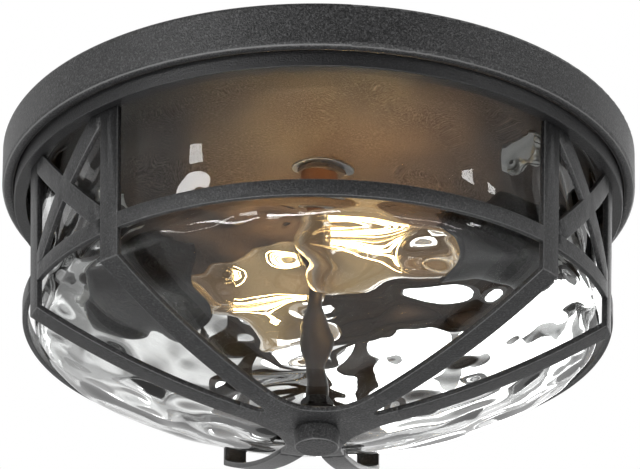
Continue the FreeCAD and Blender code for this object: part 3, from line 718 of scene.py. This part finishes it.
# %% Bowl outline
bowl_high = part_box("glass_bowl")[1]
bowl_radius = bowl_high[0]
bowl_top = bowl_high[2]
bowl_depth = 146 * mm
bowl_wall = 4 * mm
rim_height = bowl_top - bowl_wall / 2
hole_radius = 6.2 * mm
flat_radius = 12 * mm
engineering_radii = (245 * mm, 28 * mm)
fuller_radii = (270 * mm, 14 * mm)
side_rows = (24, 12, 46, 2)
hole_rows = 4
rim_rows = 8
columns = 540
around = np.linspace(0, 2 * math.pi, columns, endpoint=False)


def shoulder_place(dome_radius, shoulder_radius):
    """Height of the shoulder arc's centre, and the way from it to where it meets the dome."""
    below = math.sqrt((dome_radius - shoulder_radius) ** 2
                      - (bowl_radius - shoulder_radius) ** 2)
    return dome_radius - bowl_depth - below, -math.atan2(below, bowl_radius - shoulder_radius)


def bowl_side(inset, dome_radius, shoulder_radius):
    """Outline from the rim down wall, shoulder and dome to the flat by the hole."""
    radius = bowl_radius - inset
    dome = dome_radius - inset
    dome_centre = dome_radius - bowl_depth
    height, turn = shoulder_place(dome_radius, shoulder_radius)
    flat_turn = -math.acos(flat_radius / dome)
    flat_height = dome_centre + dome * math.sin(flat_turn)
    wall, shoulder, bottom, foot = side_rows
    return np.concatenate([
        line_points((radius, rim_height), (radius, height), wall),
        arc_points((bowl_radius - shoulder_radius, height), shoulder_radius - inset, 0, turn,
                   shoulder),
        arc_points((0, dome_centre), dome, turn, flat_turn, bottom),
        line_points((flat_radius, flat_height), (hole_radius, flat_height), foot)])


def bowl_outline(dome_radius, shoulder_radius):
    """Closed outline of the wall: outer side, hole, inner side and rim."""
    outer_side = bowl_side(0, dome_radius, shoulder_radius)
    inner_side = bowl_side(bowl_wall, dome_radius, shoulder_radius)
    hole = line_points((hole_radius, outer_side[-1, 1]), (hole_radius, inner_side[-1, 1]),
                       hole_rows)
    rim = arc_points((bowl_radius - bowl_wall / 2, rim_height), bowl_wall / 2, math.pi, 0,
                     rim_rows)[1:]
    return np.concatenate([outer_side, hole, inner_side[::-1], rim])


def turned(profile):
    """Points (radius cos a, radius sin a, height) of a profile at every angle a."""
    radius = profile[:, None, 0]
    height = np.broadcast_to(profile[:, None, 1], (len(profile), columns))
    return np.stack([radius * np.cos(around), radius * np.sin(around), height], -1)


outline = bowl_outline(*engineering_radii)
fuller_outline = bowl_outline(*fuller_radii)
outside = slice(0, sum(side_rows))
inside = slice(outside.stop + hole_rows, 2 * outside.stop + hole_rows)
outer_side = outline[outside]
print("bowl outline of", len(outline), "points, flat at", round(outer_side[-1, 1] / mm, 1), "mm")

# %% [markdown]
# The dents' centres are drawn at random but kept apart from each other, so that the
# pattern is even without being regular. Each dent is stretched along the bowl, by its own
# amount, and has its own width and depth.

# %% Dents
tries = 4000
dent_widths = (0.34, 0.48)
dent_depths = (0.6, 1.25)
dent_stretches = (1.0, 1.7)


def dent_centres(seed, spacing):
    """Points spread evenly but not regularly over the outer side of the bowl.

    Candidates are drawn at random by area; one is kept if it is far enough from the kept.
    """
    chance = np.random.default_rng(seed)
    steps = np.linalg.norm(np.diff(outer_side, axis=0), axis=1)
    area = steps * outer_side[:-1, 0]
    rows = chance.choice(len(area), tries, p=area / area.sum())
    angle = chance.uniform(0, 2 * math.pi, tries)
    height = outer_side[rows, 1] + chance.uniform(-1, 1, tries) * mm
    candidates = np.stack([outer_side[rows, 0] * np.cos(angle),
                           outer_side[rows, 0] * np.sin(angle), height], -1)
    kept = [candidates[0]]
    for candidate in candidates[1:]:
        if np.linalg.norm(np.array(kept) - candidate, axis=1).min() > spacing:
            kept.append(candidate)
    return np.array(kept), chance


def dent_depth(points, seed, spacing, depth):
    """Sum over all dents of depth times exp(-(distance / width) squared), and their number.

    Along the bowl, the distance is divided by the dent's stretch.
    """
    centres, chance = dent_centres(seed, spacing)
    widths = spacing * chance.uniform(*dent_widths, len(centres))
    depths = depth * chance.uniform(*dent_depths, len(centres))
    stretches = chance.uniform(*dent_stretches, len(centres))
    along = np.stack([-centres[:, 1], centres[:, 0], np.zeros(len(centres))], -1)
    along /= np.linalg.norm(along, axis=1)[:, None] + 1e-9
    total = np.zeros(points.shape[:2])
    for centre, way, width, deep, stretch in zip(centres, along, widths, depths, stretches):
        offset = points - centre
        squared = (offset ** 2).sum(-1) - (offset @ way) ** 2 * (1 - 1 / stretch ** 2)
        total += deep * np.exp(-squared / width ** 2)
    return total, len(centres)


# %% [markdown]
# Outside, a dent takes glass away. Inside, a swelling adds some. Both fade out towards the
# rim and the flat round the hole, which are smooth, and are deeper on the dome than on the
# wall. A soft limit keeps a wall of glass between two dents that meet.

# %% Depth of the ripples
deepest = 1.85 * mm
dome_gain = 0.6
bowl = turned(outline)
dents, dent_count = dent_depth(bowl[outside], seed=11, spacing=24 * mm, depth=1.2 * mm)
swellings, swelling_count = dent_depth(bowl[inside], seed=8, spacing=30 * mm, depth=1.5 * mm)


def ramp(value, start, length):
    """0 up to start, 1 from start plus length on, and even between."""
    return np.clip((value - start) / length, 0, 1)


shoulder_height = shoulder_place(*engineering_radii)[0]
on_dome = ramp(shoulder_height + 20 * mm - outline[:, 1], 0, 40 * mm)
off_flat = ramp(outline[:, 0], 24 * mm, 10 * mm)
off_rim = ramp(bowl_top - outline[:, 1], 2 * mm, 8 * mm)
fade = (1 + dome_gain * on_dome) * off_flat * off_rim
into_glass = np.zeros((len(outline), columns))
into_glass[outside] = deepest * np.tanh(dents * fade[outside, None] / deepest)
into_glass[inside] = -deepest * np.tanh(swellings * fade[inside, None] / deepest)
print("dents outside", dent_count, "deepest", round(float(into_glass.max()) / mm, 2), "mm,",
      "swellings inside", swelling_count, "highest", round(float(-into_glass.min()) / mm, 2), "mm")

# %% [markdown]
# The outline runs down the outer side and back up the inner one, with the glass always
# on its right. The ripples are laid out on the engineering bowl and carried row by row onto
# the fuller one, so a row that is a little longer there only draws them out a little.

# %% Bowl piece
rippled = turned(fuller_outline) + turned(beside(fuller_outline)) * into_glass[:, :, None]
grid_piece("rippled_bowl", [facing_out(rippled)], bowl_glass, "glass",
           ["glass_bowl"])

# %% [markdown]
# ## Filament loops
# Each filament is a long closed loop of thin glowing thread, drawn from the foot wire to
# the head wire and back. The loop's middle line is a racetrack, and a small circle is
# carried along it.

# %% Filaments
strips_in_bulb = 6
loop_half_width = 0.8 * mm
thread_radius = 0.26 * mm
side_points, bend_points, thread_columns = 24, 8, 10


def strip_ends(node, strips):
    """Middle of a node, and both ends of each of its straight strips.

    The strips stand evenly round a line along X.
    """
    points = points_of(nodes[node].data)
    centre = (points.min(0) + points.max(0)) / 2
    angle = np.arctan2(points[:, 2] - centre[2], points[:, 1] - centre[1])
    phase = np.angle(np.exp(1j * strips * angle).mean()) / strips
    strip = np.round((angle - phase) / (2 * math.pi / strips)).astype(int) % strips
    far = points[:, 0] > centre[0]
    return centre, [[points[(strip == count) & (far == end)].mean(0) for end in (False, True)]
                    for count in range(strips)]


def thread_loop(start, end, centre):
    """Tube round a racetrack between two points; its flat side faces the bulb's middle line."""
    along = end - start
    length = np.linalg.norm(along)
    along = along / length
    outward = (start + end) / 2 - centre
    outward -= along * (outward @ along)
    outward /= np.linalg.norm(outward)
    across = np.cross(along, outward)
    half = loop_half_width
    track = np.concatenate([
        line_points((half, half), (length - half, half), side_points),
        arc_points((length - half, 0), half, math.pi / 2, -math.pi / 2, bend_points),
        line_points((length - half, -half), (half, -half), side_points),
        arc_points((half, 0), half, -math.pi / 2, -1.5 * math.pi, bend_points)])
    turn = np.linspace(0, 2 * math.pi, thread_columns, endpoint=False)
    sideways = -beside(track)[:, None, :] * np.cos(turn)[None, :, None] * thread_radius
    flat = track[:, None, :] + sideways
    return facing_out(start + flat[..., :1] * along + flat[..., 1:] * across
                      + (np.sin(turn) * thread_radius)[None, :, None] * outward)


for side in ("left", "right"):
    node = "bulb_filaments_" + side
    centre, ends = strip_ends(node, strips_in_bulb)
    loops = [thread_loop(start, end, centre) for start, end in ends]
    grid_piece("filament_loops_" + side, loops, filament_glow, "bulb_" + side, [node])
